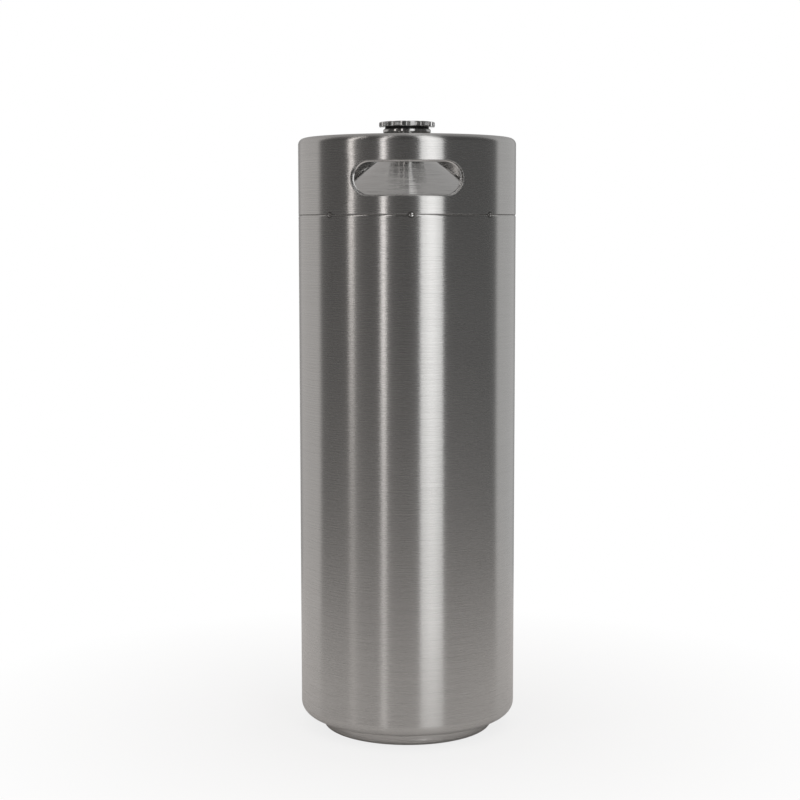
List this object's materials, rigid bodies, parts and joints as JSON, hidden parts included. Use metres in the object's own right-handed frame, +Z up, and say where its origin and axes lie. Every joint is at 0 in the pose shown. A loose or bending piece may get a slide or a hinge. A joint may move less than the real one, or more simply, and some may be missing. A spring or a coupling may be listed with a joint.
{
  "type": "mini keg",
  "caption": "Tall brushed-steel insulated mini keg with a carry ring, finger slots and a screw cap on a central neck.",
  "frame": {"origin": "centre of the foot ring's underside, on the floor", "axes": "+Z up along the keg's axis; the finger slots face -Y (front) and +Y (rear)"},
  "size_m": [0.185, 0.185, 0.5203],
  "materials": {
    "brushed_stainless": "brushed around the axis",
    "vessel_stainless": "pickled, satin",
    "turned_stainless": "turned, polished",
    "weld_metal": "as welded",
    "copper_foil": "bright foil",
    "solder": "cast, dull",
    "getter_metal": "sintered",
    "gasket_rubber": "matt"
  },
  "bodies": {
    "keg": {"outer_tube": "brushed_stainless", "outer_shoulder": "brushed_stainless", "outer_base": "brushed_stainless", "vacuum_seal_plug": "solder", "base_cover": "brushed_stainless", "foot_ring": "brushed_stainless", "foot_ring_welds": "weld_metal", "inner_tube": "vessel_stainless", "inner_base": "vessel_stainless", "inner_shoulder": "vessel_stainless", "inner_base_support": "vessel_stainless", "radiation_foil": "copper_foil", "getter_cup": "vessel_stainless", "getter_pellet": "getter_metal", "shell_base_weld": "weld_metal", "shell_shoulder_weld": "weld_metal", "vessel_base_weld": "weld_metal", "vessel_shoulder_weld": "weld_metal", "neck_collar": "turned_stainless", "neck_outer_weld": "weld_metal", "neck_inner_weld": "weld_metal", "handle_ring": "brushed_stainless", "handle_ring_welds": "weld_metal"},
    "gasket": {"cap_gasket": "gasket_rubber"},
    "cap": {"screw_cap": "turned_stainless"}
  },
  "joints": [
    {"name": "cap_rise", "type": "slide", "parent": "keg", "child": "gasket", "axis": [0, 0, 1], "range_m": [0, 0.0151]},
    {"name": "cap_turn", "type": "hinge", "parent": "gasket", "child": "cap", "pos_m": [0, 0, 0.5195], "axis": [0, 0, 1], "range_deg": [0, 1800]}
  ],
  "couplings": [
    {"joint": "cap_rise", "follows": "cap_turn", "m_per_rad": 0.00047746}
  ]
}
